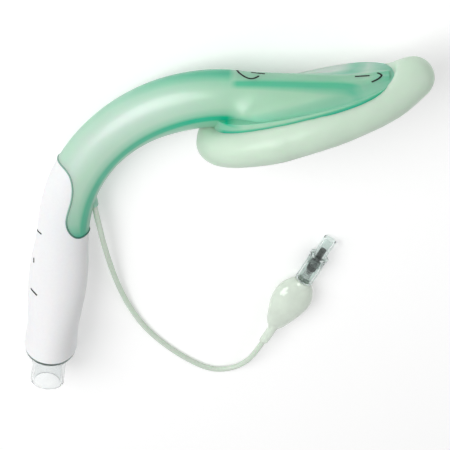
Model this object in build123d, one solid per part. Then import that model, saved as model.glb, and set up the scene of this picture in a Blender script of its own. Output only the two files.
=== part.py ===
from build123d import *
import math
import os

# Laryngeal mask airway, adult size, lying on its side. Millimetres.
# The device is modelled in its own frame: X towards the mask tip, Y towards the back (dorsal),
# Z sideways. The origin is where the bend of the tube ends and the back of the mask begins.
# rest() then lays it on the surface.

# Tube centreline
axis_lean = 7.1
handle_straight = 65.5
bend_radius = 69.4

# Tube and grip sections: distance from the rim, half depth, half width
handle_sections = (
    (0.0, 11.7, 16.3),
    (8.0, 11.4, 15.2),
    (18.0, 12.0, 13.8),
    (28.0, 12.8, 12.4),
    (36.0, 13.0, 11.4),
    (44.0, 12.7, 10.6),
    (51.0, 12.0, 10.1),
    (57.0, 11.5, 9.8),
)
bend_half_depth = 11.3
bend_half_width = 9.6
throat_half_depth = 12.8
throat_half_width = 9.9

# Airway passage
lumen_r = 6.9
lumen_shift = 4.0
lumen_lift = 1.4

# Green core inside the grip
core_half_depth = 9.6
core_half_width = 8.3
core_beyond_tongue = 12.0

# Edge of the grip against the green tube, seen from the side
tongue_end = 93.2
grip_edge = (
    (-74.0, -29.6),
    (-70.1, -30.3),
    (-65.6, -33.0),
    (-63.7, -38.7),
    (-64.9, -48.5),
    (-66.8, -57.4),
    (-65.2, -62.8),
    (-61.7, -65.8),
    (-58.4, -65.6),
    (-52.0, -64.6),
)

# Mask back
back_top = 11.2
back_flat = 5.4
back_crown = 1.2
back_tip_rise = 3.0
rim_heel_x = -4.0
rim_widest_x = 36.0
rim_tip_x = 71.5
rim_half_width = 20.6
rim_heel_power = 2.4
rim_tip_power = 2.6
rim_ledge = 1.3
rim_top_y = -5.8
rim_top_slope = 0.275
rim_low_y = -10.2
rim_low_slope = 0.319
skirt_depth = 4.0
shoulder_end = 17.0
back_wall = 2.6

# Bowl inside the mask
bowl_start = 8.0
bowl_end = 61.0
bowl_half_width = 9.5
bowl_ceiling_half = 5.5

# Inflatable cuff, centreline of the ring and its section
cuff_heel_x = -3.8
cuff_heel_y = -19.8
cuff_widest_x = 28.0
cuff_tip_x = 78.4
cuff_half_width = 17.0
cuff_slope = 0.345
cuff_taper_power = 2.25
cuff_upturn = 3.5
cuff_upturn_start = 60.0
cuff_heel_r = 7.3
cuff_r = 8.8
cuff_swell_length = 30.0

# 15 mm connector
cone_tip_r = 7.65
cone_length = 19.0
cone_taper = 1.0 / 80.0
connector_bore_r = 6.1
spigot_length = 14.0
flange_thickness = 1.3
flange_inset = 0.3

# How it lies: pitched and rolled onto grip corner, tube side and cuff side, then turned
rest_pitch = -12.87
rest_roll = -6.31
rest_yaw = -45.0

# Inflation line, route in the lying frame after it leaves the tube
line_d = 2.5
line_bore = 1.2
line_clearance = 0.05
line_exit = (-56.0, -50.9, 0.0)
line_insert = 6.0
socket_r = 2.0
socket_length = 2.5
line_route = (
    (-39.2, 1.6, 11.0),
    (-52.9, -19.2, 6.4),
    (-65.0, -41.0, 2.0),
    (-72.0, -61.7, 1.3),
    (-73.4, -83.2, 1.3),
    (-71.2, -102.7, 1.3),
    (-64.9, -110.5, 2.2),
    (-55.2, -112.8, 4.6),
)
line_lead = 4.0

# Pilot balloon and valve, along one axis that runs from the neck to the mouth
valve_base = (-3.9, -97.1, 5.42)
valve_heading = 16.3
valve_dip = 3.03
balloon_outline = (
    (-30.0, 1.9),
    (-28.4, 2.8),
    (-25.5, 4.9),
    (-21.5, 6.8),
    (-17.0, 8.5),
    (-12.0, 9.6),
    (-7.5, 9.2),
    (-3.4, 7.2),
    (-0.3, 4.2),
)
balloon_flatness = 0.6
balloon_rings = 12
balloon_neck_r = 2.15
balloon_neck_start = -37.5
balloon_tail_length = 3.0
balloon_neck_depth = 6.0
housing_r = 4.3
housing_length = 12.6
housing_floor = 1.5
housing_bore_r = 3.2
spigot_r = 2.6
spigot_depth = 6.0
spigot_bore_r = 1.2
port_insert = 3.1
port_bore_r = 2.6
collar_r = 4.0
collar_length = 0.8
lug_gap = 0.5
lug_r = 4.6
lug_length = 0.9
barrel_r = 3.1
port_length = 24.2
seat_start = 13.7
seat_bore_r = 1.65
socket_start = 16.6
luer_mouth_r = 2.14
luer_taper = 0.03
plunger_stem_r = 1.5
plunger_stem_end = 18.4
plunger_body_r = 2.2
plunger_body_start = 6.4
plunger_groove = 0.5
plunger_grooves = 6
guide_r = 1.1
guide_length = 2.2
seal_r = 2.3
seal_length = 0.6
spring_wire = 0.3
spring_r = 1.7
spring_turns = 5

out = "parts"
side = Vector(0, 0, -1)


def heading(angle):
    return Vector(math.cos(math.radians(angle)), math.sin(math.radians(angle)), 0)


handle_heading = 90.0 - axis_lean
handle_dir = heading(handle_heading)
bend_length = bend_radius * math.radians(handle_heading)
bend_centre = Vector(0, -bend_radius, 0)
bend_start = bend_centre + bend_radius * heading(90.0 + handle_heading)
rim_centre = bend_start - handle_dir * handle_straight
throat = handle_straight + bend_length


def tube_plane(distance):
    """Plane across the tube, a distance along its centreline from the rim: local y is dorsal."""
    if distance <= handle_straight:
        return Plane(rim_centre + handle_dir * distance, x_dir=side, z_dir=handle_dir)
    turned = min(math.degrees((distance - handle_straight) / bend_radius), handle_heading)
    direction = heading(handle_heading - turned)
    centre = bend_centre + bend_radius * heading(90.0 + handle_heading - turned)
    if distance > throat:
        centre = centre + direction * (distance - throat)
    return Plane(centre, x_dir=side, z_dir=direction)


def side_point(distance, offset):
    """Point of the side view: distance along the centreline, offset dorsal of it."""
    return tube_plane(distance).from_local_coords(Vector(0, offset, 0))


def closed_outline(plane, half_points):
    """Face across the body from the points of one half, dorsal to ventral, mirrored."""
    other = [(-x, y) for x, y in reversed(half_points[1:-1])]
    points = [plane.from_local_coords(Vector(x, y, 0)) for x, y in half_points + other]
    return make_face(Spline(*points, periodic=True))


oval_angles = (0, 20, 40, 62, 85, 108, 132, 156, 180)


def oval_points(half_depth, half_width):
    return [
        (half_width * math.sin(math.radians(a)), half_depth * math.cos(math.radians(a)))
        for a in oval_angles
    ]


def ease(value):
    value = min(1.0, max(0.0, value))
    return value * value * (3.0 - 2.0 * value)


def blend(a, b, share):
    return a + (b - a) * share


def rim_width(x):
    """Egg-shaped plan outline of the rim: half width at x."""
    if x < rim_widest_x:
        t = min(1.0, (rim_widest_x - x) / (rim_widest_x - rim_heel_x))
        return rim_half_width * (1.0 - t**rim_heel_power) ** (1.0 / rim_heel_power)
    t = min(1.0, (x - rim_widest_x) / (rim_tip_x - rim_widest_x))
    return rim_half_width * math.sqrt(1.0 - t**rim_tip_power)


def rim_outline():
    """Points (x, half width) around one half of the rim, heel to tip."""
    stations = []
    for k in range(6):
        angle = math.radians(90.0 * k / 6)
        x = rim_widest_x - (rim_widest_x - rim_heel_x) * math.cos(angle) ** (2.0 / rim_heel_power)
        stations.append((x, rim_half_width * math.sin(angle) ** (2.0 / rim_heel_power)))
    for k in range(7):
        angle = math.radians(90.0 * k / 6)
        x = rim_widest_x + (rim_tip_x - rim_widest_x) * math.sin(angle) ** (2.0 / rim_tip_power)
        stations.append((x, rim_half_width * math.cos(angle) if k < 6 else 0.0))
    return stations


def rim_top(x):
    return rim_top_y + rim_top_slope * x


def rim_low(x):
    return rim_low_y + rim_low_slope * x


def mask_points(x):
    """Half outline across the back of the mask at x, dorsal to ventral."""
    spread = ease(x / shoulder_end)
    foot = max(rim_width(x) - rim_ledge, 1.5)
    top = back_top + back_tip_rise * ease((x - 48.0) / 24.0)
    flat = min(back_flat, 0.62 * foot)
    foot_y = min(rim_top(x), top - 0.8)
    low = min(rim_low(x), foot_y - 0.6)
    bottom = low - skirt_depth
    edge = top - back_crown
    dome = [
        (0, top),
        (0.52 * flat, top - 0.12),
        (flat, edge),
        (blend(flat, foot, 0.36), blend(edge, foot_y, 0.40)),
        (blend(flat, foot, 0.74), blend(edge, foot_y, 0.80)),
        (foot, foot_y),
        (0.86 * foot, low - 0.3 * skirt_depth),
        (0.5 * foot, bottom),
        (0, bottom),
    ]
    tube = oval_points(throat_half_depth, throat_half_width)
    return [(blend(a, c, spread), blend(b, d, spread)) for (a, b), (c, d) in zip(tube, dome)]


def body_envelope():
    """Outer form of grip, tube and mask back in one run of sections."""
    faces = [closed_outline(tube_plane(s), oval_points(a, b)) for s, a, b in handle_sections]
    bends = 6
    for k in range(bends):
        share = k / bends
        swell = ease((share - 0.35) / 0.65)
        depth = blend(bend_half_depth, throat_half_depth, swell)
        width = blend(bend_half_width, throat_half_width, swell)
        faces.append(
            closed_outline(tube_plane(handle_straight + share * bend_length), oval_points(depth, width))
        )
    for x in (0.0, 5.0, 10.0, 15.0, 22.0, 30.0, 39.0, 48.0, 56.0, 63.0, 68.5):
        faces.append(closed_outline(Plane((x, 0, 0), x_dir=side, z_dir=(1, 0, 0)), mask_points(x)))
    return loft(faces)


def rim_slab(bottom, top):
    """Stretch of the rim's plan outline between two heights that depend on x."""
    half = rim_outline()
    outline = [(x, 0, z) for x, z in half] + [(x, 0, -z) for x, z in reversed(half[1:-1])]
    prism = extrude(make_face(Spline(*outline, periodic=True)), 60, dir=(0, 1, 0), both=True)
    ends = (rim_heel_x - 5.0, rim_tip_x + 5.0)
    corners = [(x, bottom(x), 0) for x in ends]
    corners += [(x, top(x), 0) for x in reversed(ends)]
    wedge = extrude(make_face(Polyline(*corners, close=True)), 40, dir=(0, 0, 1), both=True)
    return prism & wedge


def rim_plate():
    """Flat rim that the cuff hangs from, thinner towards the tip."""
    return rim_slab(lambda x: rim_low(x) - skirt_depth, rim_top)


def rim_seat():
    """Space above the rim's underside, which the cuff leaves free."""
    return rim_slab(rim_low, lambda x: rim_low(x) + 30.0)


def cuff_centre(x):
    rise = cuff_upturn * max(0.0, (x - cuff_upturn_start) / (cuff_tip_x - cuff_upturn_start)) ** 3
    return cuff_heel_y + cuff_slope * (x - cuff_heel_x) + rise


def cuff_radius(x):
    return blend(cuff_heel_r, cuff_r, ease((x - cuff_heel_x) / cuff_swell_length))


def cuff_routes():
    """Half of the ring's centreline: heel to the widest point, then on to the tip."""
    heel = []
    for k in range(7):
        angle = math.radians(90.0 * k / 6)
        x = cuff_widest_x - (cuff_widest_x - cuff_heel_x) * math.cos(angle) ** (2.0 / 2.4)
        heel.append((x, cuff_half_width * math.sin(angle) ** (2.0 / 2.4)))
    tip = []
    for k in range(7):
        x = blend(cuff_widest_x, cuff_tip_x, k / 6)
        tip.append((x, cuff_half_width * (1.0 - (k / 6) ** cuff_taper_power)))
    heel = [Vector(x, cuff_centre(x), z) for x, z in heel]
    tip = [Vector(x, cuff_centre(x), z) for x, z in tip]
    along = Vector(1, cuff_slope, 0).normalized()
    last = (tip[-1] - tip[-2]).normalized()
    return Spline(*heel, tangents=[(0, 0, 1), along]), Spline(*tip, tangents=[along, last])


def cuff_section(route, share, radius):
    tangent = route % share
    up = Vector(0, 1, 0) - tangent * tangent.Y
    return Plane(route @ share, x_dir=up, z_dir=tangent) * Circle(radius)


def cuff_ring():
    """Closed ring of round sections: half of it mirrored, rounded off at the tip."""
    heel, tip = cuff_routes()
    faces = []
    for k in range(6):
        faces.append(cuff_section(heel, k / 5, cuff_radius((heel @ (k / 5)).X)))
    half = loft(faces) + sweep(cuff_section(tip, 0, cuff_r), path=tip)
    end = Plane(tip @ 1, x_dir=(0, 1, 0), z_dir=(0, 0, 1)) * Sphere(cuff_r)
    return half + mirror(half, Plane.XY) + end


def lumen():
    """Air passage from the rim through the bend into the bowl."""
    turn = bend_start + handle_dir * lumen_shift
    radius = (lumen_lift - turn.Y) / (1.0 - math.cos(math.radians(handle_heading)))
    centre = Vector(turn.X, turn.Y, 0) + radius * heading(handle_heading - 90.0)
    bend_end = centre + Vector(0, radius, 0)
    entry = rim_centre - handle_dir * 2.0
    mid = centre + radius * heading(90.0 + handle_heading / 2.0)
    path = Line(entry, turn) + ThreePointArc(turn, mid, bend_end) + Line(bend_end, bend_end + Vector(34, 0, 0))
    mouth = Plane(entry, x_dir=side, z_dir=handle_dir)
    return sweep(mouth * Circle(lumen_r), path=path)


def core():
    """Green tube inside the grip."""
    end = tongue_end + core_beyond_tongue
    turned = math.degrees((end - handle_straight) / bend_radius)
    middle = tube_plane(handle_straight + (end - handle_straight) / 2.0).origin
    path = Line(rim_centre - handle_dir, bend_start) + ThreePointArc(bend_start, middle, tube_plane(end).origin)
    mouth = Plane(rim_centre - handle_dir, x_dir=side, z_dir=handle_dir)
    return sweep(mouth * Ellipse(core_half_width, core_half_depth), path=path)


def grip_outline():
    """Prism over the side view of the white grip: a tongue up the back, cut away in front."""
    edge = Spline(*[(x, y, 0) for x, y in grip_edge])
    outer = Polyline(
        (*grip_edge[-1], 0),
        (-40, -68, 0),
        (-60, -140, 0),
        (-100, -130, 0),
        (-100, -50, 0),
        (-85, -30, 0),
        (*grip_edge[0], 0),
    )
    return extrude(make_face(edge + outer), 40, dir=(0, 0, 1), both=True)


def bowl():
    """Hollow under the mask back, open to the throat."""
    faces = []
    for x, share in ((bowl_start, 0.55), (14.0, 0.9), (24.0, 1.0), (42.0, 0.96), (54.0, 0.8), (bowl_end, 0.5)):
        width = bowl_half_width * share
        ceiling = back_top - back_wall
        shoulder = min(ceiling - 1.2, rim_top(x) + 2.6)
        flat = bowl_ceiling_half * share
        half = [(flat, ceiling - 0.2), (width, shoulder), (width, -30.0)]
        ring = half + [(-a, b) for a, b in reversed(half)]
        plane = Plane((x, 0, 0), x_dir=side, z_dir=(1, 0, 0))
        faces.append(make_face(Polyline(*[plane.from_local_coords(Vector(a, b, 0)) for a, b in ring], close=True)))
    return loft(faces, ruled=True)


def connector():
    """Clear 15 mm male cone with a plate over the grip's end and a spigot in the passage."""
    base = Plane(rim_centre, x_dir=side, z_dir=-handle_dir)
    plate_face = base * make_face(
        Spline(
            *[
                (x, y)
                for x, y in [
                    (
                        (handle_sections[0][2] - flange_inset) * math.cos(math.radians(a)),
                        (handle_sections[0][1] - flange_inset) * math.sin(math.radians(a)),
                    )
                    for a in range(0, 360, 30)
                ]
            ],
            periodic=True,
        )
    )
    plate = extrude(plate_face, flange_thickness, dir=-handle_dir)
    cone_base = cone_tip_r + cone_length * cone_taper
    cone = base.offset(flange_thickness) * Cone(
        cone_base, cone_tip_r, cone_length, align=(Align.CENTER, Align.CENTER, Align.MIN)
    )
    cone = fillet(cone.edges().sort_by(Axis(rim_centre, -handle_dir))[-1], 0.5)
    spigot = base.offset(-spigot_length) * Cylinder(
        lumen_r, spigot_length, align=(Align.CENTER, Align.CENTER, Align.MIN)
    )
    bore = base.offset(-spigot_length) * Cylinder(
        connector_bore_r,
        spigot_length + flange_thickness + cone_length,
        align=(Align.CENTER, Align.CENTER, Align.MIN),
    )
    return plate + cone + spigot - bore


def socket(place, direction):
    """Small boss on the tube that the inflation line enters."""
    base = Plane(place - direction * socket_length, z_dir=direction)
    return base * Cylinder(
        socket_r, 2.0 * socket_length, align=(Align.CENTER, Align.CENTER, Align.MIN)
    )


def line_path(start, end):
    """Straight runs joined by tangent arcs, from the socket to the balloon neck."""
    points = [start] + [Vector(*p) for p in line_route] + list(end)
    radii = []
    for before, here, after in zip(points, points[1:], points[2:]):
        turn = (here - before).get_angle(after - here)
        shorter = min((here - before).length, (after - here).length)
        radii.append(0.45 * shorter / math.tan(math.radians(turn / 2.0)))
    print("line radii", [round(r, 1) for r in radii])
    print("line points", [tuple(round(v, 2) for v in p) for p in points])
    return FilletPolyline(*points, radius=radii)


def inflation_line(path):
    start = Plane(path @ 0, z_dir=path % 0)
    return sweep(start * (Circle(line_d / 2.0) - Circle(line_bore / 2.0)), path=path)


def along_axis(distance):
    return valve_plane.offset(distance)


def rod(radius, start, end):
    return along_axis(start) * Cylinder(
        radius, end - start, align=(Align.CENTER, Align.CENTER, Align.MIN)
    )


def pilot_balloon():
    """Flattened bag with a round neck for the line and a round tail for the valve."""
    tail_end, tail_r = balloon_outline[-1]
    edge = Spline(*[(radius, 0, t) for t, radius in balloon_outline])
    rings = []
    for step in range(balloon_rings + 1):
        point = edge @ (step / balloon_rings)
        rings.append(Plane((0, 0, point.Z)) * Ellipse(point.X, point.X * balloon_flatness))
    bag = valve_plane.location * loft(rings)
    bag += rod(balloon_neck_r, balloon_neck_start, -20.0)
    bag += rod(tail_r, tail_end - balloon_tail_length, tail_end)
    line_end = balloon_neck_start + balloon_neck_depth
    bag -= rod(line_d / 2.0 + line_clearance, balloon_neck_start - 1.0, line_end)
    return bag - rod(spigot_r + line_clearance, tail_end - spigot_depth, tail_end + 1.0)


def valve_housing():
    body = rod(housing_r, 0.0, housing_length)
    body = fillet(body.edges().filter_by(GeomType.CIRCLE), 0.4)
    body += rod(spigot_r, -spigot_depth, 0.5)
    body -= rod(housing_bore_r, housing_floor, housing_length + 1.0)
    return body - rod(spigot_bore_r, -spigot_depth - 1.0, housing_floor + 1.0)


def luer_port():
    """Mouth of the valve: plug into the housing, lugs and a 6 % female taper."""
    body = rod(housing_bore_r, housing_length - port_insert, housing_length)
    collar_end = housing_length + collar_length
    lug_start = collar_end + lug_gap
    body += rod(collar_r, housing_length, collar_end)
    body += rod(barrel_r, collar_end, port_length)
    body += rod(lug_r, lug_start, lug_start + lug_length)
    body -= rod(port_bore_r, housing_length - port_insert - 1.0, seat_start)
    body -= rod(seat_bore_r, seat_start - 0.5, socket_start + 0.5)
    depth = port_length - socket_start
    taper = along_axis(socket_start) * Cone(
        luer_mouth_r - depth * luer_taper,
        luer_mouth_r,
        depth,
        align=(Align.CENTER, Align.CENTER, Align.MIN),
    )
    return body - taper


def valve_plunger():
    """Sprung core: stem in the mouth, fluted body, guide pin in the spring."""
    seal_start = seat_start - seal_length
    body = rod(plunger_body_r, plunger_body_start, seal_start)
    for k in range(plunger_grooves):
        angle = math.radians(360.0 * k / plunger_grooves)
        centre = Vector(math.cos(angle), math.sin(angle), 0) * plunger_body_r
        groove = along_axis(plunger_body_start - 1.0) * Pos(centre.X, centre.Y, 0) * Cylinder(
            plunger_groove, seal_start, align=(Align.CENTER, Align.CENTER, Align.MIN)
        )
        body -= groove
    body += rod(plunger_stem_r, seal_start - 0.5, plunger_stem_end)
    return body + rod(guide_r, plunger_body_start - guide_length, plunger_body_start + 0.5)


def valve_seal():
    ring = rod(seal_r, seat_start - seal_length, seat_start)
    return ring - rod(plunger_stem_r, seat_start - seal_length - 1.0, seat_start + 1.0)


def valve_spring():
    length = plunger_body_start - housing_floor - spring_wire - 0.04
    start = along_axis(housing_floor + spring_wire / 2.0 + 0.02)
    coil = start.location * Helix(pitch=length / spring_turns, height=length, radius=spring_r)
    return sweep(Plane(coil @ 0, z_dir=coil % 0) * Circle(spring_wire / 2.0), path=coil, is_frenet=True)


valve_axis = Vector(
    math.cos(math.radians(valve_heading)) * math.cos(math.radians(valve_dip)),
    math.sin(math.radians(valve_heading)) * math.cos(math.radians(valve_dip)),
    -math.sin(math.radians(valve_dip)),
)
across = Vector(math.sin(math.radians(valve_heading)), -math.cos(math.radians(valve_heading)), 0)
valve_plane = Plane(Vector(*valve_base), x_dir=across, z_dir=valve_axis)

envelope = body_envelope() + rim_plate()
ring = cuff_ring() - rim_seat()
grip = (envelope & grip_outline()) - core()
tube = (envelope - ring - grip_outline()) + (envelope & core()) - bowl() - lumen()
device = {"airway_connector": connector(), "grip": grip, "airway_tube": tube, "cuff": ring}

lying = Rot(Z=rest_yaw) * Rot(X=rest_roll) * Rot(Y=rest_pitch)
box = Compound(children=[lying * shape for shape in device.values()]).bounding_box()
down = Pos(-box.center().X, -box.center().Y, -box.min.Z) * lying
parts = {name: down * shape for name, shape in device.items()}

exit_place = (down * Location(line_exit)).position
exit_heading = (Vector(*line_route[0]) - exit_place).normalized()
neck = balloon_neck_start
enter = [along_axis(neck - line_lead).origin, along_axis(neck + balloon_neck_depth - 0.1).origin]
path = line_path(exit_place - exit_heading * (line_insert - socket_length), enter)
hole = Plane(exit_place - exit_heading * (line_insert - socket_length + 0.1), z_dir=exit_heading)
parts["airway_tube"] += socket(exit_place, exit_heading)
parts["airway_tube"] -= hole * Cylinder(
    line_d / 2.0 + line_clearance, 30, align=(Align.CENTER, Align.CENTER, Align.MIN)
)
parts["inflation_line"] = inflation_line(path)
parts["pilot_balloon"] = pilot_balloon()
parts["valve_housing"] = valve_housing()
parts["luer_port"] = luer_port()
parts["valve_plunger"] = valve_plunger()
parts["valve_seal"] = valve_seal()
parts["valve_spring"] = valve_spring()

os.makedirs(out, exist_ok=True)
for name, shape in parts.items():
    export_step(shape, os.path.join(out, name + ".step"))
    print(name, len(shape.solids()), "solid", round(shape.volume / 1000.0, 3), "cm3")
print("line length", round(path.length, 1), "mm")
for name, point in (("origin", (0, 0, 0)), ("rim", rim_centre), ("exit", exit_place)):
    place = point if name == "exit" else (down * Location(Vector(*point))).position
    print(name, [round(v, 3) for v in place])
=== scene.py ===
import math

import bmesh
import bpy
from mathutils import Matrix, Vector


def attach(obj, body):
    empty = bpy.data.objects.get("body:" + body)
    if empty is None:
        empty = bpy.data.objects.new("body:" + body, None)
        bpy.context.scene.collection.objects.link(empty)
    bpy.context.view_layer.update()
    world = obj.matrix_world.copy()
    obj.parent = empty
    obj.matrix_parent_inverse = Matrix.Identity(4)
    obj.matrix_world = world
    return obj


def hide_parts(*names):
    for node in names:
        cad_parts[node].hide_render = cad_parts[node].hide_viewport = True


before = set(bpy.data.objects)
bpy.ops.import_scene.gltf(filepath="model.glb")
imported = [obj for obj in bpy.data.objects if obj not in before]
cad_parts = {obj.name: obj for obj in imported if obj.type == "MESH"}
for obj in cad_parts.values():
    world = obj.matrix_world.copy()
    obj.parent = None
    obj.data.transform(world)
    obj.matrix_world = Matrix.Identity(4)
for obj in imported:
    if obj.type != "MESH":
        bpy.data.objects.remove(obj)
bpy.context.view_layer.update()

bl_info = {
    "name": "Laryngeal mask airway",
    "version": (1, 0, 0),
    "blender": (4, 5, 0),
    "location": "View3D > Sidebar > Airway",
    "description": "Dresses the packed laryngeal mask airway and sets its stage",
    "category": "Object",
}

MM = 0.001
BODY = "device"

# The device's own frame as it lies: X towards the mask tip, Y to its back, Z to its side
DEVICE_ORIGIN = (45.306, 12.474, 19.266)
DEVICE_TURN = (-6.31, -12.87, -45.0)

# Route of the inflation line, from the socket in the tube to the balloon's neck
LINE_ROUTE = (
    (-28.0, 17.16, 12.79),
    (-39.2, 1.6, 11.0),
    (-52.9, -19.2, 6.4),
    (-65.0, -41.0, 2.0),
    (-72.0, -61.7, 1.3),
    (-73.4, -83.2, 1.3),
    (-71.2, -102.7, 1.3),
    (-64.9, -110.5, 2.2),
    (-55.2, -112.8, 4.6),
    (-43.68, -108.73, 7.61),
    (-34.19, -105.96, 7.09),
)
LINE_FITTINGS = ("valve_housing", "luer_port", "valve_plunger", "valve_seal", "valve_spring")

# Side view of the tube in the device's frame: heading of the handle in degrees, then millimetres
HANDLE_HEADING = 82.9
HANDLE_LENGTH = 65.5
BEND_RADIUS = 69.4
TUBE_HALF_DEPTH = 11.6
TUBE_HALF_WIDTH = 9.8

# The two lines of the mask's rim in the side view: height at the heel, rise per millimetre
RIM_TOP = (-5.8, 0.275)
RIM_LOW = (-10.2, 0.319)

# Edge of the green tongue on the grip, in the device's frame, seen from the side
TONGUE_EDGE = (
    (-70.1, -30.3),
    (-65.6, -33.0),
    (-63.7, -38.7),
    (-64.9, -48.5),
    (-66.8, -57.4),
    (-65.2, -62.8),
    (-61.7, -65.8),
    (-58.4, -65.6),
)
SEAM_REACH = 1.6
SEAM_ANGLE = 35.0
SEAM_SKIN = 0.86
SEAM_LEAST_EDGES = 10

# Printed strokes in the device's frame: node that carries them, then the points
PRINTED_STROKES = {
    "left_bracket": ("airway_tube", (
        (5.4, 12.3, -2.2),
        (5.9, 12.3, -0.3),
        (8.1, 11.8, 2.2),
        (11.0, 11.1, 3.5),
        (13.5, 11.2, 2.5),
        (14.5, 11.3, 0.7),
    )),
    "left_dash": ("airway_tube", ((11.3, 11.6, -1.8), (14.2, 11.3, -2.0), (17.1, 11.3, -1.5))),
    "right_dash": ("airway_tube", ((54.4, 11.8, -0.2), (57.3, 12.2, 0.1), (60.4, 12.7, 0.5))),
    "right_bracket": ("airway_tube", (
        (61.2, 12.0, 4.9),
        (63.8, 12.8, 4.1),
        (65.4, 13.6, 2.3),
        (65.1, 13.5, 0.4),
        (63.6, 13.5, -0.6),
    )),
    "upper_tick": ("grip", ((-80.6, -65.0, 2.6), (-79.5, -64.9, 4.6), (-78.2, -64.9, 6.2))),
    "middle_dot": ("grip", ((-82.2, -78.0, 4.6), (-82.2, -79.0, 5.0), (-82.3, -80.0, 5.3))),
    "lower_tick": ("grip", ((-83.9, -92.9, 6.3), (-82.3, -93.4, 8.2), (-80.9, -94.3, 9.6))),
}
STROKE_HALF = 0.6
STROKE_SINK = 0.4

# Shares over the side view: lowest and highest value in millimetres, then (place, share) stops
# Painted shade along the inside of the bend, measured from a line that drifts away from the tube's middle
INNER_PLACE = -4.2
INNER_DRIFT = 0.075
INNER_BAND = (-5.0, 5.0, ((0.0, 0.35), (0.28, 0.5), (0.38, 1.0), (0.56, 1.0), (0.72, 0.35), (1.0, 0.0)))
INNER_REACH = (-70.0, 20.0, ((0.0, 0.85), (0.45, 0.9), (0.62, 1.0), (0.80, 1.0), (0.88, 0.0)))
# Painted shade along the outside of the bend
OUTER_BAND = (7.5, 12.5, ((0.0, 0.0), (0.6, 0.25), (1.0, 0.95)))
OUTER_REACH = (-70.0, 20.0, ((0.0, 0.25), (0.45, 0.7), (0.80, 0.9), (0.84, 0.0)))
# Painted shade in the crease at the edge of the flat top of the mask's back
CREASE_BAND = (8.0, 12.0, ((0.0, 0.0), (0.42, 0.8), (0.62, 0.8), (0.8, 0.25), (1.0, 0.25)))
CREASE_REACH = (2.0, 66.0, ((0.0, 0.0), (0.06, 1.0), (0.8, 1.0), (1.0, 0.0)))
# Painted shade on the upper and lower line of the rim, in the grooves against the dome and the cuff, on its
# near side, its tip and its whole length
RIM_TOP_BAND = (-1.5, 2.5, ((0.0, 0.0), (0.28, 0.0), (0.37, 0.5), (0.5, 0.45), (1.0, 0.0)))
RIM_LOW_BAND = (-2.0, 2.5, ((0.0, 1.0), (0.5, 1.0), (0.7, 0.8), (0.9, 0.0)))
RIM_NEAR_SIDE = (-10.0, 10.0, ((0.3, 0.0), (0.6, 1.0)))
RIM_TIP = (58.0, 72.0, ((0.0, 0.0), (0.4, 0.45), (1.0, 0.75)))
RIM_REACH = (-4.0, 74.0, ((0.0, 0.0), (0.06, 1.0), (0.95, 1.0), (1.0, 0.4)))
# Painted shade round the end of the tongue on the grip
TONGUE_END = (-66.0, -44.0, ((0.0, 1.0), (0.15, 0.6), (0.35, 0.25), (0.7, 0.1), (1.0, 0.0)))
# From the tube's pale green to the stronger green of the mask's back
BACK_SHARE = (-62.0, 40.0, ((0.0, 0.25), (0.18, 0.0), (0.4, 0.15), (0.68, 0.75), (1.0, 1.0)))
# Painted highlight along the outside of the bend, and painted light on the far side of the rim
STREAK_BAND = (-1.0, 11.0, ((0.0, 0.0), (0.45, 0.8), (0.6, 0.8), (1.0, 0.0)))
STREAK_REACH = (-75.0, 0.0, ((0.0, 0.2), (0.2, 0.8), (0.55, 0.8), (0.9, 0.0)))
FAR_SIDE = (-12.0, -2.0, ((0.0, 0.85), (1.0, 0.0)))
FAR_REACH = (12.0, 40.0, ((0.0, 0.0), (1.0, 1.0)))
# Darkness of the seam by height, and the painted shade on the edge of the connector's plate along the handle
SEAM_DARKNESS = (-68.0, -28.0, ((0.0, 1.0), (0.2, 0.7), (0.4, 0.25), (1.0, 0.3)))
PLATE_BAND = (-1.6, 0.4, ((0.0, 0.0), (0.1, 1.0), (0.85, 1.0), (1.0, 0.0)))

# Colours that stay the same in every finish
SEAM_LIGHT = (0.30, 0.52, 0.42)
SEAM_DARK = (0.015, 0.13, 0.09)
# Painted shade on the edge of the connector's plate against the grip's end
PLATE_SHADE = (0.48, 0.57, 0.54)
CONNECTOR_TINT = (0.95, 0.97, 0.97)
HOUSING_TINT = (0.82, 0.88, 0.86)
LUER_TINT = (0.84, 0.90, 0.88)
BLACK = ((0.008, 0.008, 0.008), (0.016, 0.016, 0.016))
STEEL = ((0.45, 0.45, 0.46), (0.6, 0.6, 0.61))
FLOOR = ((0.93, 0.93, 0.93), (0.94, 0.94, 0.94))
WHITE = (1.0, 1.0, 1.0, 1.0)

# Where a mottled colour changes over its noise
MOTTLE = (0.3, 0.7)

# Shader values of each kind of surface
GREEN_SURFACE = {
    "IOR": 1.4,
    "Subsurface Weight": 0.5,
    "Subsurface Radius": (0.5, 1.0, 0.7),
    "Subsurface Scale": 0.004,
    "Coat Weight": 0.35,
    "Coat Roughness": 0.18,
}
SOFT_SURFACE = {
    "IOR": 1.42,
    "Subsurface Weight": 0.5,
    "Subsurface Radius": (0.6, 1.0, 0.7),
    "Subsurface Scale": 0.006,
    "Coat Weight": 0.15,
    "Coat Roughness": 0.25,
}
FILM_SURFACE = {"Roughness": 0.22, "IOR": 1.25, "Coat Weight": 1.0, "Coat Roughness": 0.05}
GRIP_SURFACE = {"Roughness": 0.38, "Subsurface Weight": 0.1, "Subsurface Scale": 0.003}
CLEAR_SURFACE = {"Specular IOR Level": 0.35, "Roughness": 0.05}
BLACK_SURFACE = {"Specular IOR Level": 0.15}
STEEL_SURFACE = {"Metallic": 1.0, "Roughness": 0.25}
SEAM_SURFACE = {"Roughness": 0.4}
FLOOR_SURFACE = {"Roughness": 0.9, "Specular IOR Level": 0.1}

# How far the connector and the valve bend light, and how much of it they let through
CONNECTOR_BENDING, CONNECTOR_CLEARNESS = 1.4, 0.86
VALVE_BENDING, VALVE_CLEARNESS = 1.16, 0.95

# Inflated skins, in metres: smoothing steps, size and depth of the slack, and its middle
CUFF_SLACK = (40, 0.012, 0.0004, -0.5)
BALLOON_SLACK = (5, 0.006, 0.0005, 0.5)
BALLOON_FILM = 0.00035

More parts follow.
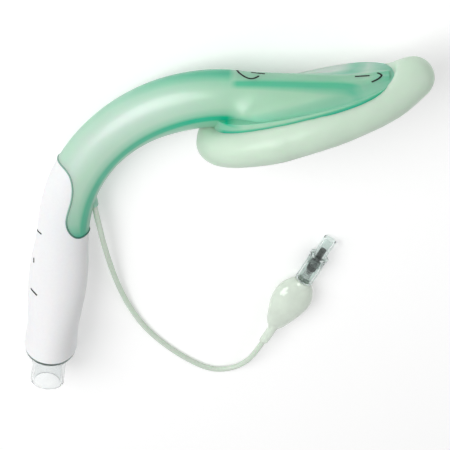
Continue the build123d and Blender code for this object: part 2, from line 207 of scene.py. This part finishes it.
# Where the camera stands and how it is turned
CAMERA_EYE = (0.28278, 0.44698, 0.73072)
CAMERA_RIGHT = (0.71423, -0.67739, 0.17613)
CAMERA_UP = (0.62640, 0.50637, -0.59264)
CAMERA_LENS = 165.6
CAMERA_SENSOR = 36.0
CAMERA_FAR = 20.0

# Studio: lamps as name, place, size and power, then the floor and the world
LAMPS = (
    ("key", (-0.18, 0.80, 0.80), 0.8, 8.0),
    ("fill", (0.75, -0.35, 0.75), 0.9, 1.1),
)
FLOOR_SIZE = 6.0
FLOOR_GLOW = 0.26
WORLD_LIGHT = 0.42


def device_matrix():
    """The device's own frame, in metres, as it lies in the row."""
    roll, pitch, yaw = (math.radians(a) for a in DEVICE_TURN)
    turn = Matrix.Rotation(yaw, 4, "Z") @ Matrix.Rotation(roll, 4, "X") @ Matrix.Rotation(pitch, 4, "Y")
    return Matrix.Translation(Vector(DEVICE_ORIGIN) * MM) @ turn


def handle_frame():
    """In the side view: the handle's heading, its dorsal side and where it meets the bend."""
    heading = math.radians(HANDLE_HEADING)
    along = Vector((math.cos(heading), math.sin(heading)))
    dorsal = Vector((-along.y, along.x))
    start = BEND_RADIUS * dorsal - Vector((0.0, BEND_RADIUS))
    return along, dorsal, start


def deselect():
    if bpy.context.object and bpy.context.object.mode != "OBJECT":
        bpy.ops.object.mode_set(mode="OBJECT")
    bpy.ops.object.select_all(action="DESELECT")


def pick(obj):
    deselect()
    obj.select_set(True)
    bpy.context.view_layer.objects.active = obj


def add_object(name, data):
    obj = bpy.data.objects.new(name, data)
    bpy.context.scene.collection.objects.link(obj)
    return obj


def apply_all(obj):
    pick(obj)
    for modifier in list(obj.modifiers):
        bpy.ops.object.modifier_apply(modifier=modifier.name)


def copy_of_node(node, name):
    """A welded copy of a CAD node's mesh as a new object."""
    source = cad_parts[node]
    obj = add_object(name, source.data.copy())
    obj.data.name = name
    obj.matrix_world = source.matrix_world.copy()
    pick(obj)
    bpy.ops.object.transform_apply(location=True, rotation=True, scale=True)
    bpy.ops.object.mode_set(mode="EDIT")
    bpy.ops.mesh.select_all(action="SELECT")
    bpy.ops.mesh.remove_doubles(threshold=0.00001)
    bpy.ops.mesh.normals_make_consistent(inside=False)
    bpy.ops.object.mode_set(mode="OBJECT")
    return obj


def paint(obj, material):
    obj.data.materials.clear()
    obj.data.materials.append(material)


def dress_node(node, material):
    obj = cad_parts[node]
    if not obj.material_slots:
        raise RuntimeError("no material slot on " + node)
    for slot in obj.material_slots:
        slot.material = material


def node_tree(name, surface):
    """A new material, its nodes and its shader, with the surface's values on the shader."""
    material = bpy.data.materials.new(name)
    material.use_nodes = True
    tree = material.node_tree
    shader = tree.nodes["Principled BSDF"]
    for key, value in surface.items():
        shader.inputs[key].default_value = value
    return material, tree, shader


def add_node(tree, kind, values=None, **props):
    node = tree.nodes.new(kind)
    for key, value in props.items():
        setattr(node, key, value)
    for key, value in (values or {}).items():
        node.inputs[key].default_value = value
    return node


def object_noise(tree, scale, detail=3.0):
    place = add_node(tree, "ShaderNodeTexCoord")
    noise = add_node(tree, "ShaderNodeTexNoise", {"Scale": scale, "Detail": detail})
    tree.links.new(place.outputs["Object"], noise.inputs["Vector"])
    return noise.outputs["Fac"]


def add_bump(tree, shader, height, strength, distance):
    bump = add_node(tree, "ShaderNodeBump", {"Strength": strength, "Distance": distance})
    tree.links.new(height, bump.inputs["Height"])
    tree.links.new(bump.outputs["Normal"], shader.inputs["Normal"])


def ramp(tree, factor, stops):
    node = add_node(tree, "ShaderNodeValToRGB")
    elements = node.color_ramp.elements
    while len(elements) < len(stops):
        elements.new(0.5)
    for element, (position, colour) in zip(elements, stops):
        element.position = position
        element.color = (*colour, 1.0)
    tree.links.new(factor, node.inputs["Fac"])
    return node.outputs["Color"]


def mottled(tree, noise, colours):
    """Colour that runs between two colours with the noise."""
    return ramp(tree, noise, tuple(zip(MOTTLE, colours)))


def scaled(colour, share):
    return tuple(share * c for c in colour)


def math_node(tree, operation, first, second):
    node = add_node(tree, "ShaderNodeMath", operation=operation)
    for socket, value in zip(node.inputs, (first, second)):
        if isinstance(value, (int, float)):
            socket.default_value = value
        else:
            tree.links.new(value, socket)
    return node.outputs[0]


def times(tree, first, second):
    return math_node(tree, "MULTIPLY", first, second)


def largest(tree, first, *others):
    for other in others:
        first = math_node(tree, "MAXIMUM", first, other)
    return first


def dot(tree, vector, direction):
    node = add_node(tree, "ShaderNodeVectorMath", {1: (*direction, 0.0)}, operation="DOT_PRODUCT")
    tree.links.new(vector, node.inputs[0])
    return node.outputs["Value"]


def choose(tree, share, low, high):
    """low where share is 0, high where it is 1."""
    gap = math_node(tree, "SUBTRACT", high, low)
    return math_node(tree, "ADD", low, times(tree, gap, share))


def mix_colour(tree, share, low, high):
    node = add_node(tree, "ShaderNodeMix", data_type="RGBA")
    tree.links.new(share, node.inputs["Factor"])
    for socket, value in ((node.inputs["A"], low), (node.inputs["B"], high)):
        if isinstance(value, tuple):
            socket.default_value = (*value, 1.0)
        else:
            tree.links.new(value, socket)
    return node.outputs["Result"]


def side_view_group():
    """Node group: where a point is in the device's side view, in millimetres."""
    name = "Device side view"
    if name in bpy.data.node_groups:
        return bpy.data.node_groups[name]
    group = bpy.data.node_groups.new(name, "ShaderNodeTree")
    group.interface.new_socket("Object place", in_out="INPUT", socket_type="NodeSocketVector")
    for output in ("Length", "Height", "Width", "Dorsal", "Handle"):
        group.interface.new_socket(output, in_out="OUTPUT", socket_type="NodeSocketFloat")
    entry, result = group.nodes.new("NodeGroupInput"), group.nodes.new("NodeGroupOutput")
    turn = device_matrix().to_euler("XYZ")
    values = {"Location": Vector(DEVICE_ORIGIN) * MM, "Rotation": turn, "Scale": (MM, MM, MM)}
    place = add_node(group, "ShaderNodeMapping", values, vector_type="TEXTURE")
    group.links.new(entry.outputs[0], place.inputs["Vector"])
    place = place.outputs[0]
    split = group.nodes.new("ShaderNodeSeparateXYZ")
    group.links.new(place, split.inputs[0])
    x, y, z = split.outputs
    along, dorsal, start = handle_frame()
    rise = math_node(group, "ADD", y, BEND_RADIUS)
    square = math_node(group, "ADD", times(group, x, x), times(group, rise, rise))
    bend = math_node(group, "SUBTRACT", math_node(group, "SQRT", square, 0.0), BEND_RADIUS)
    past = math_node(group, "SUBTRACT", dot(group, place, along), start.dot(along))
    straight = math_node(group, "SUBTRACT", dot(group, place, dorsal), start.dot(dorsal))
    in_bend = math_node(group, "GREATER_THAN", past, 0.0)
    in_mask = math_node(group, "GREATER_THAN", x, 0.0)
    across = choose(group, in_mask, choose(group, in_bend, straight, bend), y)
    handle = math_node(group, "ADD", past, HANDLE_LENGTH)
    for socket, value in zip(result.inputs, (x, y, z, across, handle)):
        group.links.new(value, socket)
    return group


def side_view(tree):
    """The side view's outputs at the point that is shaded."""
    place = add_node(tree, "ShaderNodeTexCoord")
    node = tree.nodes.new("ShaderNodeGroup")
    node.node_tree = side_view_group()
    tree.links.new(place.outputs["Object"], node.inputs[0])
    return node.outputs


def mask(tree, value, low, high, stops):
    """A value between low and high turned into a share by (place, share) stops."""
    spread = add_node(tree, "ShaderNodeMapRange", {"From Min": low, "From Max": high})
    tree.links.new(value, spread.inputs["Value"])
    return ramp(tree, spread.outputs["Result"], [(p, (v, v, v)) for p, v in stops])


def rim_line(tree, view, line):
    """Height above one of the two lines of the mask's rim."""
    base, slope = line
    level = math_node(tree, "ADD", times(tree, view["Length"], slope), base)
    return math_node(tree, "SUBTRACT", view["Height"], level)


def inner_shade_share(tree, view):
    """Share of the painted shade along the inside of the bend."""
    drift = times(tree, math_node(tree, "MINIMUM", view["Length"], 0.0), INNER_DRIFT)
    middle = math_node(tree, "ADD", drift, INNER_PLACE)
    band = mask(tree, math_node(tree, "SUBTRACT", view["Dorsal"], middle), *INNER_BAND)
    return times(tree, band, mask(tree, view["Length"], *INNER_REACH))


def rim_shade_share(tree, view):
    """Share of the painted shade on the mask's rim: its grooves, near side and tip."""
    upper = mask(tree, rim_line(tree, view, RIM_TOP), *RIM_TOP_BAND)
    upper = times(tree, upper, mask(tree, view["Width"], *RIM_NEAR_SIDE))
    lower = mask(tree, rim_line(tree, view, RIM_LOW), *RIM_LOW_BAND)
    tip = mask(tree, view["Length"], *RIM_TIP)
    return times(tree, largest(tree, upper, tip, lower), mask(tree, view["Length"], *RIM_REACH))


def painted_shade_share(tree, view):
    """Where shade is painted on the green moulding as a deeper green: its bend, crease, rim and tongue."""
    length, height = view["Length"], view["Height"]
    outer = times(tree, mask(tree, view["Dorsal"], *OUTER_BAND), mask(tree, length, *OUTER_REACH))
    crease = times(tree, mask(tree, height, *CREASE_BAND), mask(tree, length, *CREASE_REACH))
    tongue = mask(tree, height, *TONGUE_END)
    return largest(tree, tongue, inner_shade_share(tree, view), outer, crease, rim_shade_share(tree, view))


def painted_highlight_share(tree, view):
    """Where light is painted on the green moulding: a highlight along the outside of the bend, and the far
    side of the rim.
    """
    streak = mask(tree, view["Dorsal"], *STREAK_BAND)
    streak = times(tree, streak, mask(tree, view["Length"], *STREAK_REACH))
    far = times(tree, mask(tree, view["Width"], *FAR_SIDE), mask(tree, view["Length"], *FAR_REACH))
    return largest(tree, streak, far)


def green_material(finish):
    material, tree, shader = node_tree("Translucent green moulding", GREEN_SURFACE)
    view = side_view(tree)
    body = mask(tree, view["Length"], *BACK_SHARE)
    colour = mix_colour(tree, body, tuple(finish.green_pale), tuple(finish.green_back))
    # Painted highlight, then painted shade in a deeper green, over the pale and back greens
    colour = mix_colour(tree, painted_highlight_share(tree, view), colour, tuple(finish.green_highlight))
    colour = mix_colour(tree, painted_shade_share(tree, view), colour, tuple(finish.green_shade))
    tree.links.new(colour, shader.inputs["Base Color"])
    shader.inputs["Roughness"].default_value = finish.green_roughness
    shader.inputs["Transmission Weight"].default_value = finish.green_clearness
    add_bump(tree, shader, object_noise(tree, 90.0), 0.1, 0.0002)
    return material


def seam_material():
    """Dark line between the grip and the tube, darkest round the end of the tongue."""
    material, tree, shader = node_tree("Seam of the grip", SEAM_SURFACE)
    share = mask(tree, side_view(tree)["Height"], *SEAM_DARKNESS)
    colour = ramp(tree, share, ((0.0, SEAM_LIGHT), (1.0, SEAM_DARK)))
    tree.links.new(colour, shader.inputs["Base Color"])
    return material


def soft_material(name, colour, deep, roughness, scale):
    """Soft rubbery skin; deep is the share of the colour in its darker patches."""
    material, tree, shader = node_tree(name, SOFT_SURFACE)
    noise = object_noise(tree, scale)
    shade = mottled(tree, noise, (scaled(colour, deep), tuple(colour)))
    tree.links.new(shade, shader.inputs["Base Color"])
    shader.inputs["Roughness"].default_value = roughness
    add_bump(tree, shader, noise, 0.1, 0.0002)
    return material


def film_material(name, colour, clearness):
    """Thin pale film that lets some of what is behind it through."""
    material, tree, shader = node_tree(name, FILM_SURFACE)
    noise = object_noise(tree, 160.0)
    shade = mottled(tree, noise, (scaled(colour, 0.93), tuple(colour)))
    tree.links.new(shade, shader.inputs["Base Color"])
    shader.inputs["Transmission Weight"].default_value = clearness
    add_bump(tree, shader, noise, 0.15, 0.0003)
    return material


def white_material(colour):
    material, tree, shader = node_tree("White grip moulding", GRIP_SURFACE)
    noise = object_noise(tree, 900.0, 2.0)
    shade = mottled(tree, noise, (scaled(colour, 0.98), tuple(colour)))
    tree.links.new(shade, shader.inputs["Base Color"])
    add_bump(tree, shader, noise, 0.08, 0.0001)
    return material


def clear_material(name, tint, bending, clearness, plate=False):
    """Clear moulding of a tint; bending is its index of refraction; plate adds painted shade along the edge
    of the connector's plate.
    """
    material, tree, shader = node_tree(name, CLEAR_SURFACE)
    shade = mottled(tree, object_noise(tree, 600.0, 2.0), (scaled(tint, 0.97), tint))
    if plate:
        share = mask(tree, side_view(tree)["Handle"], *PLATE_BAND)
        shade = mix_colour(tree, share, shade, PLATE_SHADE)
    tree.links.new(shade, shader.inputs["Base Color"])
    shader.inputs["IOR"].default_value = bending
    shader.inputs["Transmission Weight"].default_value = clearness
    return material


def black_material(name, roughness):
    material, tree, shader = node_tree(name, BLACK_SURFACE)
    shade = mottled(tree, object_noise(tree, 1500.0, 2.0), BLACK)
    tree.links.new(shade, shader.inputs["Base Color"])
    shader.inputs["Roughness"].default_value = roughness
    return material


def steel_material():
    material, tree, shader = node_tree("Spring wire", STEEL_SURFACE)
    shade = mottled(tree, object_noise(tree, 3000.0, 2.0), STEEL)
    tree.links.new(shade, shader.inputs["Base Color"])
    return material


def seen_share(tree):
    """1 for what the camera sees, straight, mirrored or through a clear wall."""
    ray = tree.nodes.new("ShaderNodeLightPath").outputs
    return largest(tree, ray["Is Camera Ray"], ray["Is Glossy Ray"], ray["Is Transmission Ray"])


def inflate(obj, voxel, steps, ripple_size, depth, middle):
    """Evens out and rounds the mesh of an inflated skin and gives it a slight slack."""
    remesh = obj.modifiers.new("even", "REMESH")
    remesh.mode = "VOXEL"
    remesh.voxel_size = voxel
    smooth = obj.modifiers.new("smooth", "SMOOTH")
    smooth.iterations = steps
    smooth.factor = 0.5
    ripple = bpy.data.textures.new(obj.name + "_ripple", "CLOUDS")
    ripple.noise_scale = ripple_size
    slack = obj.modifiers.new("slack", "DISPLACE")
    slack.texture = ripple
    slack.texture_coords = "LOCAL"
    slack.strength = depth
    slack.mid_level = middle


def smooth_curve(name, points, resolution):
    """A curve of one open spline with the points as its control points, in metres."""
    curve = bpy.data.curves.new(name, "CURVE")
    curve.dimensions = "3D"
    spline = curve.splines.new("NURBS")
    spline.points.add(len(points) - 1)
    for point, place in zip(spline.points, points):
        point.co = (*place, 1.0)
    spline.order_u = 3
    spline.use_endpoint_u = True
    spline.resolution_u = resolution
    return curve


def bead(obj, half_width):
    """Turns a mesh of bare edges into a round bead along them."""
    pick(obj)
    bpy.ops.object.convert(target="CURVE")
    curve = bpy.context.object
    curve.data.dimensions = "3D"
    curve.data.bevel_depth = half_width
    curve.data.bevel_resolution = 2
    curve.data.use_fill_caps = True
    bpy.ops.object.convert(target="MESH")
    bpy.ops.object.shade_smooth()
    return bpy.context.object


def to_segment(point, start, end):
    """Distance in the side view from a point to a stretch of a line."""
    run = end - start
    share = max(0.0, min(1.0, (point - start).dot(run) / run.length_squared))
    return (point - start - run * share).length


def colour_setting(name, description, default):
    return bpy.props.FloatVectorProperty(
        name=name, description=description, default=default, size=3, subtype="COLOR", min=0.0, max=1.0
    )


def share_setting(name, description, default):
    return bpy.props.FloatProperty(
        name=name, description=description, default=default, subtype="FACTOR", min=0.0, max=1.0
    )


def length_setting(name, description, default, least=0.0):
    return bpy.props.FloatProperty(
        name=name, description=description, default=default, unit="LENGTH", min=least
    )


class AirwayFinish(bpy.types.PropertyGroup):
    green_pale: colour_setting("Tube colour", "Pale green of the tube", (0.66, 0.90, 0.74))
    # Deeper green used for painted shade on the tube and the rim
    green_shade: colour_setting("Tube painted shade colour", "Green along its edges and the rim", (0.0, 0.60, 0.35))
    green_back: colour_setting("Mask back colour", "Stronger green of the mask's back", (0.48, 0.80, 0.58))
    # Lightest green used for painted highlight on the bend and the rim
    green_highlight: colour_setting("Tube painted highlight colour", "Lightest green of the bend and rim", (0.80, 0.95, 0.86))
    green_clearness: share_setting("Tube clearness", "Share of light through the tube's wall", 0.3)
    green_roughness: share_setting("Tube roughness", "Blur of what is seen through the tube", 0.32)
    cuff_colour: colour_setting("Cuff colour", "Pale green of the inflated cuff", (0.63, 0.78, 0.64))
    line_colour: colour_setting("Line colour", "Pale green of the inflation line", (0.66, 0.76, 0.64))
    balloon_colour: colour_setting("Balloon colour", "Tint of the balloon's film", (0.90, 1.0, 0.88))
    balloon_clearness: share_setting("Balloon clearness", "Share of light through the film", 0.2)
    grip_colour: colour_setting("Grip colour", "White of the grip", (0.88, 0.88, 0.89))


class AirwaySizes(bpy.types.PropertyGroup):
    line_diameter: length_setting("Line diameter", "Outside diameter of the inflation line", 0.0025)
    seam_width: length_setting("Seam width", "Width of the line between grip and tube", 0.0008)
    stroke_width: length_setting("Stroke width", "Width of the printed strokes", 0.001)
    cuff_voxel: length_setting("Cuff mesh size", "Edge length of the cuff's mesh", 0.0008, 0.0004)
    balloon_voxel: length_setting("Balloon mesh size", "Edge length of its mesh", 0.0004, 0.0002)


class AIRWAY_OT_stage(bpy.types.Operator):
    """Floor, lights, world and the camera of the photograph's view"""

    bl_idname = "airway.stage"
    bl_label = "Stage"

    def execute(self, context):
        self.floor(context)
        for name, place, size, power in LAMPS:
            self.light(name, place, size, power)
        self.camera(context)
        self.world(context)
        context.scene.view_settings.view_transform = "Standard"
        return {"FINISHED"}

    def floor(self, context):
        deselect()
        bpy.ops.mesh.primitive_plane_add(size=FLOOR_SIZE, location=(0.0, 0.0, 0.0))
        floor = context.object
        floor.name = "floor"
        bpy.ops.object.mode_set(mode="EDIT")
        bpy.ops.mesh.subdivide(number_cuts=3)
        bpy.ops.object.mode_set(mode="OBJECT")
        material, tree, shader = node_tree("Studio floor", FLOOR_SURFACE)
        shade = mottled(tree, object_noise(tree, 4.0, 1.0), FLOOR)
        tree.links.new(shade, shader.inputs["Base Color"])
        self.whiten(tree, shader)
        floor.data.materials.append(material)

    def whiten(self, tree, shader):
        """Adds a little white to the floor as the camera sees it, which keeps its shadows."""
        glow = add_node(tree, "ShaderNodeEmission", {"Color": WHITE})
        both = tree.nodes.new("ShaderNodeAddShader")
        tree.links.new(times(tree, seen_share(tree), FLOOR_GLOW), glow.inputs["Strength"])
        tree.links.new(shader.outputs[0], both.inputs[0])
        tree.links.new(glow.outputs[0], both.inputs[1])
        tree.links.new(both.outputs[0], tree.nodes["Material Output"].inputs["Surface"])

    def light(self, name, place, size, power):
        data = bpy.data.lights.new(name, "AREA")
        data.shape = "DISK"
        data.size = size
        data.energy = power
        lamp = add_object(name, data)
        lamp.location = place
        lamp.rotation_euler = Vector(place).to_track_quat("Z", "Y").to_euler()

    def camera(self, context):
        data = bpy.data.cameras.new("camera")
        data.lens = CAMERA_LENS
        data.sensor_width = CAMERA_SENSOR
        data.clip_end = CAMERA_FAR
        camera = add_object("camera", data)
        right, up = Vector(CAMERA_RIGHT), Vector(CAMERA_UP)
        turn = Matrix((right, up, right.cross(up))).transposed().to_4x4()
        camera.matrix_world = Matrix.Translation(CAMERA_EYE) @ turn
        context.scene.camera = camera

    def world(self, context):
        world = bpy.data.worlds.new("studio")
        context.scene.world = world
        world.use_nodes = True
        tree = world.node_tree
        tree.nodes.clear()
        plain = add_node(tree, "ShaderNodeBackground", {"Color": WHITE, "Strength": WORLD_LIGHT})
        white = add_node(tree, "ShaderNodeBackground", {"Color": WHITE, "Strength": 1.0})
        mix = tree.nodes.new("ShaderNodeMixShader")
        out = tree.nodes.new("ShaderNodeOutputWorld")
        tree.links.new(seen_share(tree), mix.inputs[0])
        tree.links.new(plain.outputs[0], mix.inputs[1])
        tree.links.new(white.outputs[0], mix.inputs[2])
        tree.links.new(mix.outputs[0], out.inputs["Surface"])


class AIRWAY_OT_mouldings(bpy.types.Operator):
    """Finishes of the moulded parts: tube, grip, connector and valve"""

    bl_idname = "airway.mouldings"
    bl_label = "Moulded parts"

    def execute(self, context):
        finish = context.scene.airway_finish
        connector = clear_material(
            "Clear connector", CONNECTOR_TINT, CONNECTOR_BENDING, CONNECTOR_CLEARNESS, plate=True
        )
        housing = clear_material("Clear valve housing", HOUSING_TINT, VALVE_BENDING, VALVE_CLEARNESS)
        mouth = clear_material("Clear valve mouth", LUER_TINT, VALVE_BENDING, VALVE_CLEARNESS)
        dress_node("airway_tube", green_material(finish))
        dress_node("grip", white_material(finish.grip_colour))
        dress_node("airway_connector", connector)
        dress_node("valve_housing", housing)
        dress_node("luer_port", mouth)
        dress_node("valve_plunger", black_material("Black valve core", 0.4))
        dress_node("valve_seal", black_material("Black valve seal", 0.6))
        dress_node("valve_spring", steel_material())
        return {"FINISHED"}


class AIRWAY_OT_cuff(bpy.types.Operator):
    """Inflated cuff round the mask's rim"""

    bl_idname = "airway.cuff"
    bl_label = "Cuff"

    def execute(self, context):
        colour = context.scene.airway_finish.cuff_colour
        cuff = copy_of_node("cuff", "cuff_skin")
        inflate(cuff, context.scene.airway_sizes.cuff_voxel, *CUFF_SLACK)
        apply_all(cuff)
        bpy.ops.object.shade_smooth()
        paint(cuff, soft_material("Pale cuff", colour, 0.93, 0.36, 60.0))
        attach(cuff, BODY)
        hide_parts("cuff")
        return {"FINISHED"}


class AIRWAY_OT_balloon(bpy.types.Operator):
    """Pilot balloon of thin film"""

    bl_idname = "airway.balloon"
    bl_label = "Pilot balloon"

    def execute(self, context):
        finish = context.scene.airway_finish
        balloon = copy_of_node("pilot_balloon", "pilot_balloon_skin")
        inflate(balloon, context.scene.airway_sizes.balloon_voxel, *BALLOON_SLACK)
        wall = balloon.modifiers.new("film", "SOLIDIFY")
        wall.thickness = BALLOON_FILM
        wall.offset = -1.0
        apply_all(balloon)
        bpy.ops.object.shade_smooth()
        paint(balloon, film_material("Pale balloon film", finish.balloon_colour, finish.balloon_clearness))
        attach(balloon, BODY)
        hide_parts("pilot_balloon")
        return {"FINISHED"}


class AIRWAY_OT_line(bpy.types.Operator):
    """Inflation line from the tube's socket to the pilot balloon's neck"""

    bl_idname = "airway.line"
    bl_label = "Inflation line"

    def execute(self, context):
        diameter = context.scene.airway_sizes.line_diameter
        name = "inflation_line_skin"
        curve = smooth_curve(name, [Vector(place) * MM for place in LINE_ROUTE], 16)
        curve.bevel_depth = diameter / 2.0
        curve.bevel_resolution = 6
        curve.use_fill_caps = True
        line = add_object(name, curve)
        paint(line, soft_material("Pale line", context.scene.airway_finish.line_colour, 0.9, 0.35, 900.0))
        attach(line, BODY)
        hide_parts("inflation_line")
        on_line = [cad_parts[node] for node in LINE_FITTINGS]
        on_line.append(bpy.data.objects["pilot_balloon_skin"])
        return {"FINISHED"}


class AIRWAY_OT_seam(bpy.types.Operator):
    """Dark line where the white grip ends against the green tube"""

    bl_idname = "airway.seam"
    bl_label = "Seam of the grip"

    def execute(self, context):
        seam = copy_of_node("grip", "grip_seam")
        self.keep_edges(seam)
        seam = bead(seam, context.scene.airway_sizes.seam_width / 2.0)
        paint(seam, seam_material())
        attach(seam, BODY)
        return {"FINISHED"}

    def keep_edges(self, seam):
        """Deletes all of the grip's edges but those along the tongue."""
        to_device = device_matrix().inverted()
        line = [Vector(p) for p in TONGUE_EDGE]
        pick(seam)
        bpy.ops.object.mode_set(mode="EDIT")
        bpy.ops.mesh.select_mode(type="EDGE")
        bpy.ops.mesh.select_all(action="DESELECT")
        mesh = bmesh.from_edit_mesh(seam.data)
        kept = 0
        for edge in mesh.edges:
            place = to_device @ ((edge.verts[0].co + edge.verts[1].co) / 2.0) / MM
            sharp = len(edge.link_faces) == 2 and edge.calc_face_angle(0.0) > math.radians(SEAM_ANGLE)
            near = min(to_segment(place.xy, a, b) for a, b in zip(line, line[1:])) < SEAM_REACH
            edge.select_set(not (sharp and near and self.outside(place)))
            kept += not edge.select
        bmesh.update_edit_mesh(seam.data)
        if kept < SEAM_LEAST_EDGES:
            raise RuntimeError("the grip's edge against the tube was not found")
        bpy.ops.mesh.delete(type="EDGE")
        bpy.ops.object.mode_set(mode="OBJECT")

    def outside(self, place):
        """Whether a point of the device is on the outer skin and not at the green core."""
        along, dorsal, start = handle_frame()
        offset = (place.xy - start).dot(dorsal)
        if (place.xy - start).dot(along) > 0.0:
            offset = (place.xy + Vector((0.0, BEND_RADIUS))).length - BEND_RADIUS
        return (offset / TUBE_HALF_DEPTH) ** 2 + (place.z / TUBE_HALF_WIDTH) ** 2 > SEAM_SKIN


class AIRWAY_OT_print(bpy.types.Operator):
    """Black printed strokes on the mask's back and on the grip"""

    bl_idname = "airway.print"
    bl_label = "Printed strokes"

    def execute(self, context):
        width = context.scene.airway_sizes.stroke_width
        ink = black_material("Black print", 0.6)
        for name, (node, points) in PRINTED_STROKES.items():
            stroke = self.stroke(name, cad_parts[node], points, width)
            paint(stroke, ink)
            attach(stroke, BODY)
        return {"FINISHED"}

    def stroke(self, name, carrier, points, width):
        """A bead along the points, sunk into its carrier's skin so that little stands up."""
        places = [device_matrix() @ (Vector(point) * MM) for point in points]
        obj = add_object("print_" + name, smooth_curve(name, places, 12))
        pick(obj)
        bpy.ops.object.convert(target="MESH")
        obj = bpy.context.object
        for vertex in obj.data.vertices:
            _, place, normal, _ = carrier.closest_point_on_mesh(vertex.co)
            vertex.co = place - normal * (STROKE_SINK * width)
        return bead(obj, STROKE_HALF * width)


class AIRWAY_PT_panel(bpy.types.Panel):
    """Operators that build the airway, and their settings"""

    bl_idname = "AIRWAY_PT_panel"
    bl_label = "Laryngeal mask airway"
    bl_space_type = "VIEW_3D"
    bl_region_type = "UI"
    bl_category = "Airway"

    def draw(self, context):
        for operator in OPERATORS:
            self.layout.operator(operator.bl_idname)
        for group in (context.scene.airway_finish, context.scene.airway_sizes):
            for name in group.__annotations__:
                self.layout.prop(group, name)


OPERATORS = (
    AIRWAY_OT_stage,
    AIRWAY_OT_mouldings,
    AIRWAY_OT_cuff,
    AIRWAY_OT_balloon,
    AIRWAY_OT_line,
    AIRWAY_OT_seam,
    AIRWAY_OT_print,
)
CLASSES = (AirwayFinish, AirwaySizes, *OPERATORS, AIRWAY_PT_panel)


def register():
    for item in CLASSES:
        bpy.utils.register_class(item)
    bpy.types.Scene.airway_finish = bpy.props.PointerProperty(type=AirwayFinish)
    bpy.types.Scene.airway_sizes = bpy.props.PointerProperty(type=AirwaySizes)


def unregister():
    del bpy.types.Scene.airway_sizes
    del bpy.types.Scene.airway_finish
    for item in reversed(CLASSES):
        bpy.utils.unregister_class(item)


def main():
    register()
    bpy.ops.airway.stage()
    bpy.ops.airway.mouldings()
    bpy.ops.airway.cuff()
    bpy.ops.airway.balloon()
    bpy.ops.airway.line()
    bpy.ops.airway.seam()
    bpy.ops.airway.print()


if __name__ == "__main__":
    main()
